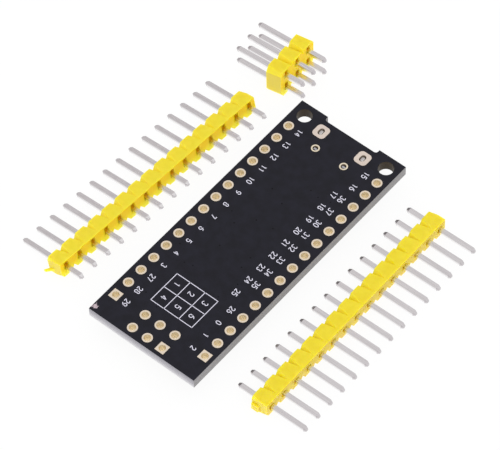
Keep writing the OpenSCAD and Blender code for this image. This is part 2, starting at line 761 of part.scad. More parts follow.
module led_lenses() color("#f4f1d8") at_spots(led_spots) translate([0, 0, led_base_h - cap_t])
    box(chip_len - 2 * cap_len, chip_w, led_lens_h + cap_t);

// Break-away headers: X runs along the pins to the short side, Y along the strip

// A V-shaped groove across the upper face, whose floor rises from the long side to the short side
module groove(depth, run) let (up = depth + housing_w, half = up * groove_w / depth)
    translate([-housing_h / 2, 0, -depth]) rotate([0, -atan(depth / run), 0])
        along_x(4 * housing_h) polygon([[0, 0], [half, up], [-half, up]]);

// Grooves between the segments and at both ends
module grooves(count, half_w, depth, run)
    for (i = [0:count]) translate([0, along(count, i - 1 / 2), half_w]) groove(depth, run);

module pin_room() {
    along_x(housing_h + 2 * cut) square(pin_w, center = true);
    translate([housing_h / 2, 0, 0]) along_x(2 * pocket_d) translate([-pocket_len / 2, -pin_w / 2])
        square([pocket_len, pin_w / 2 + pocket_up]);
    translate([-housing_h / 2, 0, 0]) along_x(2 * lead_in_d) square(lead_in_w, center = true);
}

// A header's upper grooves are deep at the long side, its lower ones at the short side
module strip_body() difference() {
    along_x(housing_h) square([strip_len, housing_w], center = true);
    for (turn = [0, 180]) rotate([0, turn, 0]) grooves(row_count, housing_w / 2, groove_d, groove_run);
    pin_places(row_count, 1) pin_room();
}

module block_body() difference() {
    along_x(housing_h) square([isp_count * pitch, block_w], center = true);
    for (turn = [0, 180]) rotate([0, turn, 0])
        grooves(isp_count, block_w / 2, block_groove_d, block_groove_run);
    pin_places(isp_count, 2) pin_room();
}

module pin_places(count, rows) for (i = [0:count - 1], row = [0:rows - 1])
    translate([0, along(count, i), along(rows, row)]) children();

// A square bar with both ends tapered on all four sides
module pin() let (
    back = -housing_h / 2 - pin_long,
    front = housing_h / 2 + pin_short,
    outline = [
        [back, -pin_tip_w / 2], [back + pin_taper, -pin_w / 2], [front - pin_taper, -pin_w / 2],
        [front, -pin_tip_w / 2], [front, pin_tip_w / 2], [front - pin_taper, pin_w / 2],
        [back + pin_taper, pin_w / 2], [back, pin_tip_w / 2]
    ]
) intersection() {
    linear_extrude(pin_w, center = true) polygon(outline);
    along_y(pin_w) polygon(outline);
}

// Left strip: snapped off with a thin flake that slants away from the pins' short side
module flaked_housing() {
    strip_body();
    translate([0, -strip_len / 2, flake_up - housing_w / 2]) linear_extrude(flake_t) polygon([
        [0, cut], [-flake_w, cut],
        [-flake_slant - flake_w, -flake_len], [-flake_slant - flake_w / 2, -flake_len]
    ]);
}

// Right strip: lies the other way up and was snapped off with a short stub of web at both ends
module stubbed_housing() {
    inner = housing_h / 2 - stub_w;
    outer = housing_h / 2 - stub_len / 2;
    strip_body();
    for (side = [0, 1]) mirror([0, side, 0]) translate([0, -strip_len / 2, stub_len])
        linear_extrude(stub_t, center = true) polygon([
            [outer, cut], [inner, cut], [inner + stub_len / 2, -stub_len], [outer, -stub_len]
        ]);
}

module strip_pins() pin_places(row_count, 1) pin();

module left_lie() translate([left_x, left_y, lean_z]) rotate(left_turn) rotate([0, -lean, 0]) children();

module right_lie() translate([right_x, right_y, housing_w / 2]) rotate(180 + right_turn) rotate([180, 0, 0])
    children();

module block_lie() translate([block_x, block_y, block_w / 2]) rotate(block_turn) children();

module left_strip_housing() color("#f0dc3c") left_lie() flaked_housing();

module left_strip_pins() color("#c8c2c6") left_lie() strip_pins();

module right_strip_housing() color("#f0dc3c") right_lie() stubbed_housing();

module right_strip_pins() color("#c8c2c6") right_lie() strip_pins();

module isp_block_housing() color("#f0dc3c") block_lie() block_body();

module isp_block_pins() color("#c8c2c6") block_lie() pin_places(isp_count, 2) pin();

circuit_board();
left_row_pads();
right_row_pads();
isp_pads();
usb_anchor_pads();
usb_peg_pads();
component_pads();
usb_shell();
usb_insulator();
usb_contacts();
usb_leg_solder();
mcu_body();
mcu_leads();
crystal_base();
crystal_lid();
regulator_body();
regulator_leads();
switch_base();
switch_cover();
switch_terminals();
switch_dome();
reset_plunger();
chip_resistors();
resistor_caps();
chip_capacitors();
capacitor_caps();
zener_bodies();
zener_leads();
power_diode_body();
power_diode_leads();
led_bases();
led_lenses();
led_caps();
left_strip_housing();
left_strip_pins();
right_strip_housing();
right_strip_pins();
isp_block_housing();
isp_block_pins();
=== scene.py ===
import json
import math

import bpy
import numpy as np
from mathutils import Matrix, Quaternion, Vector


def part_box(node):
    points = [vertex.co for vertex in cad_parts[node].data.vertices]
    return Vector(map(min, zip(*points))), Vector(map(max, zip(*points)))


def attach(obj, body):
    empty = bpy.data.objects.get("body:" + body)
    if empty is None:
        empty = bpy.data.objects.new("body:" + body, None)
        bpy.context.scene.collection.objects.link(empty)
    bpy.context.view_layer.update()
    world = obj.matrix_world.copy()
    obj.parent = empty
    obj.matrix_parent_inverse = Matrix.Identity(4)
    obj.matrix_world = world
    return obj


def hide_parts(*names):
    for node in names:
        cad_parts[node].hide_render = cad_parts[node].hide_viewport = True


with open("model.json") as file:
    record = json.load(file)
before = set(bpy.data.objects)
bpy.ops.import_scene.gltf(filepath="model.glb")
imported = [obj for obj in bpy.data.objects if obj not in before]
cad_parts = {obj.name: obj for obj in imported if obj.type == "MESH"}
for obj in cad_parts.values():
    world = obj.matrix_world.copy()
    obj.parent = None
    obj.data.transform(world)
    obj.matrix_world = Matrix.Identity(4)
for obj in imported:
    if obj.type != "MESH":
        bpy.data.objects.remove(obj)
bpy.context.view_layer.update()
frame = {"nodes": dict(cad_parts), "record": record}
nodes = frame["nodes"]
mm = 0.001


def tone(red, green, blue):  # a colour read as 0 to 255 values, turned into linear light
    c = np.array([red, green, blue]) / 255
    linear = np.where(c <= 0.04045, c / 12.92, ((c + 0.055) / 1.055) ** 2.4)
    return (*linear.tolist(), 1.0)


# Camera, from a fit of the view to the two rows of pads
view = {
    "azimuth": 41.147, "elevation": 54.440, "distance": 476.4 * mm,
    "target": (-0.66 * mm, -2.74 * mm, 4.10 * mm),
    "roll": -1.711,  # degrees, the picture's horizon is a little tilted
    "lens": 259.34, "sensor": 36.0, "nearest": 0.01, "farthest": 20.0,
}


def placeCamera():
    az, el = math.radians(view["azimuth"]), math.radians(view["elevation"])
    back = Vector((math.sin(az) * math.cos(el), -math.cos(az) * math.cos(el), math.sin(el)))
    data = bpy.data.cameras.new("viewCamera")
    data.lens, data.sensor_width = view["lens"], view["sensor"]
    data.clip_start, data.clip_end = view["nearest"], view["farthest"]
    camera = bpy.data.objects.new("viewCamera", data)
    camera.location = Vector(view["target"]) + back * view["distance"]
    camera.rotation_mode = "QUATERNION"
    tilt = Quaternion((0, 0, 1), math.radians(view["roll"]))
    camera.rotation_quaternion = back.to_track_quat("Z", "Y") @ tilt
    bpy.context.scene.collection.objects.link(camera)
    bpy.context.scene.camera = camera


# Small helpers for shader trees
axisX, axisY, axisZ = (1, 0, 0), (0, 1, 0), (0, 0, 1)
colourA, colourB, colourOut = 6, 7, 2  # a Mix node's sockets for colours


def addNode(tree, kind, values=None, **settings):
    made = tree.nodes.new("ShaderNode" + kind)
    for key, value in settings.items():
        setattr(made, key, value)
    for socket, value in (values or {}).items():
        made.inputs[socket].default_value = value
    return made


def wire(tree, source, output, target, socket):
    tree.links.new(source.outputs[output], target.inputs[socket])


def startFinish(name, colour, sockets):
    finish = bpy.data.materials.new(name)
    finish.use_nodes = True
    shader = finish.node_tree.nodes["Principled BSDF"]
    shader.inputs["Base Color"].default_value = colour
    for socket, value in sockets.items():
        shader.inputs[socket].default_value = value
    return finish, finish.node_tree, shader


def paint(tree, shader, colour):  # colour is an output socket
    tree.links.new(colour, shader.inputs["Base Color"])


def objectPoint(tree, stretch=(1, 1, 1), turn=(0, 0, 0), centre=(0, 0, 0)):
    place = addNode(tree, "Mapping", {"Location": centre, "Rotation": turn, "Scale": stretch})
    wire(tree, addNode(tree, "TexCoord"), "Object", place, "Vector")
    return place


def noise(tree, point, scale, detail=3.0, roughness=0.55):
    made = addNode(tree, "TexNoise", {"Scale": scale, "Detail": detail, "Roughness": roughness})
    wire(tree, point, 0, made, "Vector")
    return made


def ramp(tree, source, output, stops):  # the colour socket of a ramp over a node's value
    made = addNode(tree, "ValToRGB")
    band = made.color_ramp
    while len(band.elements) < len(stops):
        band.elements.new(0.5)
    for element, (place, colour) in zip(band.elements, stops):
        element.position, element.color = place, colour
    wire(tree, source, output, made, "Fac")
    return made.outputs["Color"]


def mottle(tree, point, tones, scale, detail=3.0):  # colour wanders between two near tones
    return ramp(tree, noise(tree, point, scale, detail), "Fac", list(zip((0.35, 0.65), tones)))


def grain(tree, shader, point, scale, height):  # fine relief, height in metres
    bump = addNode(tree, "Bump", {"Strength": 1.0, "Distance": height})
    wire(tree, noise(tree, point, scale, detail=2.0), "Fac", bump, "Height")
    wire(tree, bump, "Normal", shader, "Normal")


def sheenSpread(tree, shader, point, scale, low, high):  # roughness wanders between two values
    spread = addNode(tree, "MapRange", {"From Min": 0.3, "From Max": 0.7, "To Min": low, "To Max": high})
    wire(tree, noise(tree, point, scale), "Fac", spread, "Value")
    wire(tree, spread, "Result", shader, "Roughness")


def facing(tree, axis, limit=0.5):  # 1 where the surface faces along the axis, either way, 0 elsewhere
    along = addNode(tree, "VectorMath", {1: axis}, operation="DOT_PRODUCT")
    wire(tree, addNode(tree, "TexCoord"), "Normal", along, 0)
    size = addNode(tree, "Math", operation="ABSOLUTE")
    wire(tree, along, "Value", size, 0)
    flat = addNode(tree, "Math", {1: limit}, operation="GREATER_THAN")
    wire(tree, size, "Value", flat, 0)
    return flat


def below(tree, source, limit):  # 1 where a node's value is under the limit, 0 elsewhere
    made = addNode(tree, "Math", {1: limit}, operation="LESS_THAN")
    wire(tree, source, "Value", made, 0)
    return made


def within(tree, source, output, middle, half):  # 1 where a distance is within half of the middle
    made = addNode(tree, "Math", {1: middle, 2: half}, operation="COMPARE")
    wire(tree, source, output, made, 0)
    return made


def ragged(tree, source, output, texture, spread):  # a value made uneven, by half the spread each way
    shift = addNode(tree, "Math", {1: spread, 2: -spread / 2}, operation="MULTIPLY_ADD")
    wire(tree, texture, "Fac", shift, 0)
    uneven = addNode(tree, "Math", operation="ADD", use_clamp=True)
    wire(tree, source, output, uneven, 0)
    wire(tree, shift, "Value", uneven, 1)
    return uneven


def coordinate(tree, axis, low, high):  # 0 to 1 as a point of the object goes from low to high on an axis
    parts = addNode(tree, "SeparateXYZ")
    wire(tree, addNode(tree, "TexCoord"), "Object", parts, 0)
    share = addNode(tree, "MapRange", {"From Min": low, "From Max": high})
    wire(tree, parts, axis, share, "Value")
    return share


def blendColours(tree, share, first, second, kind="MIX"):
    # first and second are colours or sockets; share is a node with a value, or None for all over
    made = addNode(tree, "Mix", {0: 1.0}, data_type="RGBA", blend_type=kind)
    if share is not None:
        wire(tree, share, "Value", made, 0)
    for socket, source in ((colourA, first), (colourB, second)):
        if isinstance(source, tuple):
            made.inputs[socket].default_value = source
        else:
            tree.links.new(source, made.inputs[socket])
    return made.outputs[colourOut]


def corners(name):  # a node's points as an array, in metres
    mesh = nodes[name].data
    points = np.empty(len(mesh.vertices) * 3)
    mesh.vertices.foreach_get("co", points)
    return points.reshape(-1, 3)


def dress(finish, *names):
    for name in names:
        nodes[name].data.materials.clear()
        nodes[name].data.materials.append(finish)


# Room: a white table in a white tent, with a greyer opening behind on the left and one soft box in front
room = {
    "tableHalf": 3.0, "tableDrop": 0.02 * mm,
    "tableLights": (0.86, 0.55), "tableSeen": (0.10, 0.91),  # bounce and glow, as a light and as seen
    "tent": 0.92, "opening": (-0.72, 0.50, 0.48),
    "openingTones": [(0.50, tone(255, 255, 255)), (0.89, tone(217, 214, 215)),
                     (0.985, tone(206, 202, 203))],
    "boxSize": 0.7, "boxPlace": (0.62, -0.42, 0.62), "boxWatts": 1.4,
}
white = (1, 1, 1, 1)


def addLamp(name, place, size, watts):
    data = bpy.data.lights.new(name, "AREA")
    data.size, data.energy = size, watts
    lamp = bpy.data.objects.new(name, data)
    lamp.location = place
    lamp.rotation_euler = Vector(place).to_track_quat("Z", "Y").to_euler()
    bpy.context.scene.collection.objects.link(lamp)


def seenDirectly(tree):  # 1 for what is seen, mirrored or seen through something, 0 for what only lights
    path = addNode(tree, "LightPath")
    found = path.outputs["Is Camera Ray"]
    for kind in ("Is Glossy Ray", "Is Transmission Ray"):
        either = addNode(tree, "Math", operation="MAXIMUM")
        tree.links.new(found, either.inputs[0])
        wire(tree, path, kind, either, 1)
        found = either.outputs[0]
    return found


def buildTable():
    half = room["tableHalf"]
    square = [(-half, -half, 0), (half, -half, 0), (half, half, 0), (-half, half, 0)]
    mesh = bpy.data.meshes.new("tableTop")
    mesh.from_pydata(square, [], [(0, 1, 2, 3)])
    table = bpy.data.objects.new("tableTop", mesh)
    table.location.z = -room["tableDrop"]
    bpy.context.scene.collection.objects.link(table)
    finish = bpy.data.materials.new("whiteTable")
    finish.use_nodes = True
    tree = finish.node_tree
    tree.nodes.clear()
    mix = addNode(tree, "MixShader")
    tree.links.new(seenDirectly(tree), mix.inputs[0])
    for socket, (bounce, glow) in ((1, room["tableLights"]), (2, room["tableSeen"])):
        matt = addNode(tree, "BsdfDiffuse", {"Color": (bounce,) * 3 + (1,)})
        own = addNode(tree, "Emission", {"Color": white, "Strength": glow})
        both = addNode(tree, "AddShader")
        wire(tree, matt, 0, both, 0)
        wire(tree, own, 0, both, 1)
        wire(tree, both, 0, mix, socket)
    wire(tree, mix, 0, addNode(tree, "OutputMaterial"), "Surface")
    mesh.materials.append(finish)


def buildTent():
    world = bpy.data.worlds.new("whiteTent")
    world.use_nodes = True
    bpy.context.scene.world = world
    tree = world.node_tree
    tree.nodes.clear()
    toward = addNode(tree, "VectorMath", {1: Vector(room["opening"]).normalized()}, operation="DOT_PRODUCT")
    wire(tree, addNode(tree, "TexCoord"), "Generated", toward, 0)
    seen = addNode(tree, "Background", {"Strength": 1.0})
    tree.links.new(ramp(tree, toward, "Value", room["openingTones"]), seen.inputs["Color"])
    light = addNode(tree, "Background", {"Color": white, "Strength": room["tent"]})
    mix = addNode(tree, "MixShader")
    tree.links.new(seenDirectly(tree), mix.inputs[0])
    wire(tree, light, 0, mix, 1)
    wire(tree, seen, 0, mix, 2)
    wire(tree, mix, 0, addNode(tree, "OutputWorld"), "Surface")


scene = bpy.context.scene
scene.view_settings.view_transform = "Standard"
placeCamera()
buildTable()
buildTent()
addLamp("softBox", room["boxPlace"], room["boxSize"], room["boxWatts"])
print("camera and room placed")


# Places on the board's back, counted in mm from the first pad of the left row
leftLow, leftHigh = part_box("left_row_pads")
boardLow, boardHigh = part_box("circuit_board")
padWidth = leftHigh.x - leftLow.x
rowPins = 15
firstPad = Vector((leftLow.x + padWidth / 2, leftLow.y + padWidth / 2))
pitch = (leftHigh.y - leftLow.y - padWidth) / (rowPins - 1)
backZ = boardHigh.z


def onBack(x, y):
    return np.array([firstPad.x + x * mm, firstPad.y + y * mm])


# Meshes from whole arrays
def makePiece(name, points, faces, finish, body, slot, smooth=False):
    mesh = bpy.data.meshes.new(name)
    mesh.from_pydata(points.tolist(), [], faces)
    mesh.update()
    mesh.polygons.foreach_set("use_smooth", [smooth] * len(mesh.polygons))
    piece = bpy.data.objects.new(name, mesh)
    mesh.materials.append(finish)
    scene.collection.objects.link(piece)
    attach(piece, body)
    return piece


def joinParts(parts):  # several (points, faces) as one
    points, faces, start = [], [], 0
    for p, f in parts:
        points.append(p)
        faces += [[i + start for i in face] for face in f]
        start += len(p)
    return np.vstack(points), faces


def gridFaces(rows, columns, closeRows=False):  # quads of a grid of points whose rows are closed rings
    i, j = np.meshgrid(np.arange(rows if closeRows else rows - 1), np.arange(columns), indexing="ij")
    k, m = (j + 1) % columns, (i + 1) % rows
    quads = np.stack([i * columns + j, i * columns + k, m * columns + k, m * columns + j], -1)
    return quads.reshape(-1, 4).tolist()


def ridge(path, profile, closed=False):
    # A profile of (across, up) carried along a flat path: point = path + across * mitre + up * Z,
    # where the mitre is the mean of the two neighbouring normals, on the left of the path so that
    # the faces point outwards, made longer by 1 / cos of the half turn
    path, profile = np.asarray(path, float), np.asarray(profile, float)
    step = np.roll(path, -1, 0) - path
    if not closed:
        step[-1] = step[-2]
    step /= np.linalg.norm(step, axis=1, keepdims=True)
    before = np.roll(step, 1, 0)
    if not closed:
        before[0] = step[0]
    both = step + before
    mitre = np.stack([-both[:, 1], both[:, 0]], 1)
    mitre *= 2 / (mitre ** 2).sum(1, keepdims=True)
    flat = path[:, None, :] + profile[None, :, :1] * mitre[:, None, :]
    up = np.broadcast_to(profile[None, :, 1:], (len(path), len(profile), 1))
    points = np.concatenate([flat, up], 2).reshape(-1, 3)
    rows, columns = len(path), len(profile)
    faces = gridFaces(rows, columns, closed)
    if not closed:
        faces += [list(range(columns))[::-1], [(rows - 1) * columns + j for j in range(columns)]]
    return points, faces


# White print on the back: plain numbers beside the pads and a ruled table for the programming pads, in mm
printing = {
    "height": 0.77, "stroke": 0.11, "thick": 0.012, "squeeze": 0.9, "space": 0.26, "digitWidth": 0.6,
    "leftBase": 1.46, "leftShift": -0.11, "rightBase": 12.87, "innerBase": 11.58, "cellHeight": 0.86,
    "left": [29, 28, 27, 3, 4, 5, 6, 7, 8, 9, 10, 11, 12, 13, 14],
    "right": [2, 1, 0, 26, None, 35, 34, 33, 32, 31, 30, 37, 36, 16, 15],
    "inner": {4: 25, 5: 24, 6: 23, 7: 22, 8: 21, 9: 20, 10: 19, 11: 18, 12: 17},
    "tableX": (4.05, 6.30, 8.85, 11.05), "tableY": (2.30, 4.95, 7.60), "rule": 0.105,
    "bowStep": 15, "bowLeast": 5,  # degrees between a bow's points, and its fewest points
    "plain": tone(232, 230, 244), "ink": (tone(218, 216, 234), tone(240, 238, 250)), "inkScale": 9000,
    "sockets": {"Roughness": 0.62}, "grain": (30000, 0.003 * mm),
}


def printFinish():
    finish, tree, shader = startFinish("whitePrint", printing["plain"], printing["sockets"])
    point = objectPoint(tree)
    paint(tree, shader, mottle(tree, point, printing["ink"], printing["inkScale"]))
    grain(tree, shader, point, *printing["grain"])
    return finish


def bow(x, y, rx, ry, start, end):  # points of an upright ellipse's arc, angles in degrees
    count = max(printing["bowLeast"], int(abs(end - start) / printing["bowStep"]))
    turn = np.radians(np.linspace(start, end, count))
    return np.stack([x + rx * np.cos(turn), y + ry * np.sin(turn)], 1).tolist()


# Strokes of the digits in a box 0.6 wide and 1 high; a stroke that ends where it starts is closed
digitStrokes = {
    "0": [bow(0.3, 0.5, 0.3, 0.5, 0, 360)],
    "1": [[(0.12, 0.78), (0.36, 1.0)], [(0.33, 1.0), (0.33, 0)]],
    "2": [bow(0.3, 0.71, 0.28, 0.29, 165, -38) + [(0.03, 0.03)], [(0, 0), (0.6, 0)]],
    "3": [bow(0.28, 0.75, 0.25, 0.25, 155, -90), bow(0.28, 0.25, 0.3, 0.25, 90, -155)],
    "4": [[(0.44, 0), (0.44, 1.0)], [(0.42, 1.0), (0, 0.3)], [(0, 0.29), (0.62, 0.29)]],
    "5": [[(0.54, 1.0), (0.1, 1.0), (0.05, 0.52)] + bow(0.28, 0.32, 0.3, 0.32, 120, -155)],
    "6": [bow(0.3, 0.3, 0.29, 0.3, 0, 360), bow(0.62, 0.34, 0.61, 0.66, 102, 176)],
    "7": [[(0, 1.0), (0.6, 1.0)], [(0.58, 1.0), (0.2, 0)]],
    "8": [bow(0.3, 0.755, 0.25, 0.245, 0, 360), bow(0.3, 0.255, 0.3, 0.255, 0, 360)],
    "9": [bow(0.3, 0.7, 0.29, 0.3, 0, 360), bow(-0.02, 0.66, 0.61, 0.66, -78, -4)],
}


def printNumber(text, base, y, height):  # the line runs towards -Y, the numbers stand up towards +X
    half, thick = printing["stroke"] / 2, printing["thick"]
    section = np.array([(-half, -thick), (half, -thick), (half, thick), (-half, thick)]) * mm
    section[:, 1] += backZ
    step = printing["digitWidth"] + printing["space"]
    start = -(len(text) * step - printing["space"]) / 2
    parts = []
    for n, digit in enumerate(text):
        for stroke in digitStrokes[digit]:
            closed = np.allclose(stroke[0], stroke[-1])
            points = np.array(stroke[:-1] if closed else stroke)
            across = (start + n * step + points[:, 0]) * height * printing["squeeze"]
            flat = onBack(base + points[:, 1] * height, y - across).T
            parts.append(ridge(flat, section, closed))
    return joinParts(parts)


def printRule(start, end):  # one straight line of the table
    half, thick = printing["rule"] / 2 * mm, printing["thick"] * mm
    section = [(-half, backZ - thick), (half, backZ - thick), (half, backZ + thick), (-half, backZ + thick)]
    return ridge([onBack(*start), onBack(*end)], section)


def buildPrint():
    finish = printFinish()
    step = pitch / mm
    columns = [(printing["leftBase"], printing["leftShift"], enumerate(printing["left"])),
               (printing["rightBase"], 0, enumerate(printing["right"])),
               (printing["innerBase"], 0, printing["inner"].items())]
    parts = [printNumber(str(n), base, i * step + shift, printing["height"])
             for base, shift, labels in columns for i, n in labels if n is not None]
    xs, ys = printing["tableX"], printing["tableY"]
    cells = [(i, j) for j in (1, 0) for i in range(3)]
    for n, (i, j) in enumerate(cells, 1):
        base = (xs[i] + xs[i + 1] - printing["cellHeight"]) / 2
        parts.append(printNumber(str(n), base, (ys[j] + ys[j + 1]) / 2, printing["cellHeight"]))
    makePiece("pinNumbers", *joinParts(parts), finish, "board", "solder_mask")
    half = printing["rule"] / 2
    rules = [printRule((x, ys[0] - half), (x, ys[-1] + half)) for x in xs]
    rules += [printRule((xs[0], y), (xs[-1], y)) for y in ys]
    makePiece("tableRules", *joinParts(rules), finish, "board", "solder_mask")


buildPrint()
print("white print made")


# Finishes of the board; a noise is given by its scale, detail and roughness
boardLook = {
    "plain": tone(30, 30, 38), "sockets": {"Roughness": 0.42, "Specular IOR Level": 0.25},
    "mask": (tone(17, 17, 27), tone(24, 24, 36)), "maskNoise": (700, 4), "grain": (26000, 0.0012 * mm),
    "routed": (tone(122, 120, 122), tone(144, 142, 144)), "boreShade": (tone(46, 32, 4), tone(66, 48, 14)),
    "layerStretch": (1, 1, 14), "layerNoise": (900, 5, 0.7), "layerStops": (0.32, 0.68),
    "boreReach": 1.4 * mm,
    "snapped": [(0.0, tone(206, 205, 208)), (0.25, tone(184, 182, 187)), (0.5, tone(164, 162, 168)),
                (1.0, tone(138, 136, 143))],  # painted light by height: these edges lighter than the routed ones, lightest at the foot
    "litEdgeFacing": 0.7, "litEdgeNoise": (1400, 4, 0.7), "litEdgeRagged": 0.3,
    "scuff": tone(198, 180, 187), "scuffPlace": (-1.0, -3.0), "scuffReach": 0.36 * mm,
    "scuffStretch": (1, 0.5, 1), "scuffNoise": (3400, 5, 0.75), "scuffRagged": 1.9 * mm,
}


def boardFinish():
    finish, tree, shader = startFinish("blackMask", boardLook["plain"], boardLook["sockets"])
    point = objectPoint(tree)
    mask = mottle(tree, point, boardLook["mask"], *boardLook["maskNoise"])
    face = blendColours(tree, scuffArea(tree), mask, boardLook["scuff"])
    layers = noise(tree, objectPoint(tree, boardLook["layerStretch"]), *boardLook["layerNoise"])
    routed, boreShade = [ramp(tree, layers, "Fac", list(zip(boardLook["layerStops"], boardLook[kind])))
                    for kind in ("routed", "boreShade")]
    height = coordinate(tree, "Z", boardLow.z, boardHigh.z)
    texture = noise(tree, point, *boardLook["litEdgeNoise"])  # for the ragged line of the painted lighter foot
    uneven = ragged(tree, height, "Result", texture, boardLook["litEdgeRagged"])
    # painted light: edges facing along Y get lighter tones than the routed ones, lightest at the foot
    snapped = ramp(tree, uneven, "Value", boardLook["snapped"])
    edge = blendColours(tree, facing(tree, axisY, boardLook["litEdgeFacing"]), routed, snapped)
    # painted shade: the walls of the mounting holes take darker copies of the edge tones
    wall = blendColours(tree, boreArea(tree), edge, boreShade)
    paint(tree, shader, blendColours(tree, facing(tree, axisZ), wall, face))
    grain(tree, shader, point, *boardLook["grain"])
    return finish


def scuffArea(tree):  # 1 on a small ragged rub mark near one corner of the back
    place = (*onBack(*boardLook["scuffPlace"]), backZ)
    away = addNode(tree, "VectorMath", {1: place}, operation="DISTANCE")
    wire(tree, addNode(tree, "TexCoord"), "Object", away, 0)
    texture = noise(tree, objectPoint(tree, boardLook["scuffStretch"]), *boardLook["scuffNoise"])
    worn = ragged(tree, away, "Value", texture, boardLook["scuffRagged"])
    return below(tree, worn, boardLook["scuffReach"])


def boreArea(tree):  # 1 near the two mounting holes, which lie alike on both sides of the middle line; there the walls take painted shade
    holes = frame["record"]["mounts"][0]
    centre, gap = Vector(holes["pos_m"]), holes["dims"]["spacing_x_mm"] * mm
    folded = addNode(tree, "VectorMath", operation="ABSOLUTE")
    wire(tree, objectPoint(tree, centre=(-centre.x, -centre.y, 0)), 0, folded, 0)
    flat = addNode(tree, "VectorMath", {1: (1, 1, 0)}, operation="MULTIPLY")
    wire(tree, folded, 0, flat, 0)
    away = addNode(tree, "VectorMath", {1: (gap / 2, 0, 0)}, operation="DISTANCE")
    wire(tree, flat, 0, away, 0)
    return below(tree, away, boardLook["boreReach"])


# Gold of the pads: tones of the ring and of the barrel, with painted shade that darkens the barrel towards
# the opening of its hole
goldLook = {
    "paleGold": (tone(235, 220, 200), tone(255, 240, 204)),
    "tinnedGold": (tone(228, 213, 201), tone(204, 188, 170)),
    "eyeletGold": (tone(240, 227, 202), tone(176, 158, 132)),
    "mouth": 0.76, "barrelStops": (0.45, 0.95), "patches": ((0.93, 0.93, 0.93, 1), white),
    "patchStops": (0.3, 0.7), "patchNoise": (1300, 2), "grain": (24000, 0.0012 * mm),
    "sockets": {"Metallic": 0.35, "Roughness": 0.5},
}


def goldFinish(name):
    ring, barrel = goldLook[name]
    finish, tree, shader = startFinish(name, ring, goldLook["sockets"])
    point = objectPoint(tree)
    depth = coordinate(tree, "Z", boardLow.z, boardHigh.z)
    # painted shade: the barrel darker near the opening of its hole, under the rim
    mouth = (*(goldLook["mouth"] * c for c in barrel[:3]), 1.0)
    wall = ramp(tree, depth, "Result", list(zip(goldLook["barrelStops"], (barrel, mouth))))
    patch = ramp(tree, noise(tree, point, *goldLook["patchNoise"]), "Fac",
                 list(zip(goldLook["patchStops"], goldLook["patches"])))
    metal = blendColours(tree, facing(tree, axisZ), wall, ring)
    paint(tree, shader, blendColours(tree, None, metal, patch, "MULTIPLY"))
    grain(tree, shader, point, *goldLook["grain"])
    return finish


# Covered vias: small low bumps under the mask, placed in mm from the first pad
vias = {
    "radius": 0.16, "rise": 0.012, "rings": 5, "turns": 16,
    "mask": (tone(10, 10, 15), tone(15, 15, 22)), "maskScale": 3000, "grain": (26000, 0.0012 * mm),
    "sockets": {"Roughness": 0.5, "Specular IOR Level": 0.15},
    "places": [(4.95, 26.1), (3.1, 19.9), (4.6, 18.6), (5.45, 14.6), (9.9, 15.6), (9.95, 13.7), (1.2, 11.5),
               (4.8, 9.9), (3.6, 9.6), (10.6, 8.2), (9.2, 21.1), (6.6, 20.8), (7.5, 25), (12.4, 29.2),
               (9.15, 29.1), (10.6, 28.8), (11.3, 11.3), (2.8, 2.8), (5.4, 1.9)],
}


def turned(centre, profile, turns, half=(0.0, 0.0)):
    # A profile of (radius, height) turned about an upright axis:
    # point = centre + radius * (cos, sin) + height * Z. half adds a straight stretch on X or Y
    # on both sides, which makes the round a slot. Both poles are one point.
    profile = np.asarray(profile, float)
    angle = (np.arange(turns) + 0.5) * 2 * np.pi / turns
    around = np.stack([np.cos(angle), np.sin(angle)], 1)
    share = profile[:, 0] / profile[:, 0].max()
    stretch = share[:, None, None] * np.sign(around) * np.asarray(half)
    flat = profile[:, None, :1] * around + stretch + np.asarray(centre)
    up = np.broadcast_to(profile[:, None, 1:], (*flat.shape[:2], 1))
    inner = np.concatenate([flat, up], 2)[1:-1].reshape(-1, 3)
    poles = np.array([(*centre, profile[0, 1]), (*centre, profile[-1, 1])])
    rows = len(profile) - 2
    faces = gridFaces(rows, turns)
    first, last = rows * turns, rows * turns + 1
    j = np.arange(turns)
    k = (j + 1) % turns
    faces += np.stack([np.full(turns, first), k, j], 1).tolist()
    faces += np.stack([np.full(turns, last), (rows - 1) * turns + j, (rows - 1) * turns + k], 1).tolist()
    return np.vstack([inner, poles]), faces


def buildVias():
    finish, tree, shader = startFinish("coveredVia", vias["mask"][0], vias["sockets"])
    point = objectPoint(tree)
    paint(tree, shader, mottle(tree, point, vias["mask"], vias["maskScale"]))
    grain(tree, shader, point, *vias["grain"])
    share = np.linspace(0, 1, vias["rings"])
    up = backZ + vias["rise"] * (1 - 2 * share ** 2) * mm  # a low dome whose rim lies under the face
    profile = np.stack([share * vias["radius"] * mm, up], 1)[::-1]
    profile = np.vstack([[0, profile[0, 1]], profile])
    bumps = [turned(onBack(*place), profile, vias["turns"]) for place in vias["places"]]
    makePiece("coveredVias", *joinParts(bumps), finish, "board", "solder_mask", True)


# Solder in the four USB holes: heights in mm from the board's back, for the front legs and the rear pegs
solderLook = {
    "leg": (-0.06, -0.36), "peg": (-0.34, -0.72), "rings": 10, "turns": 32, "depth": 0.6,
    # painted shade: the solder darker deeper down in its hole, lightest at the top
    "tones": [(0.0, tone(84, 74, 66)), (0.4, tone(128, 119, 113)), (0.75, tone(176, 170, 166)),
              (1.0, tone(230, 228, 226))],
    "sockets": {"Metallic": 1.0, "Roughness": 0.3}, "spread": (5000, 0.22, 0.4),
    "grain": (9000, 0.006 * mm),
}


def solderFinish():
    finish, tree, shader = startFinish("usbSolder", solderLook["tones"][-1][1], solderLook["sockets"])
    point = objectPoint(tree)
    height = coordinate(tree, "Z", backZ - solderLook["depth"] * mm, backZ)
    # painted shade by depth in the hole
    paint(tree, shader, ramp(tree, height, "Result", solderLook["tones"]))
    sheenSpread(tree, shader, point, *solderLook["spread"])
    grain(tree, shader, point, *solderLook["grain"])
    return finish


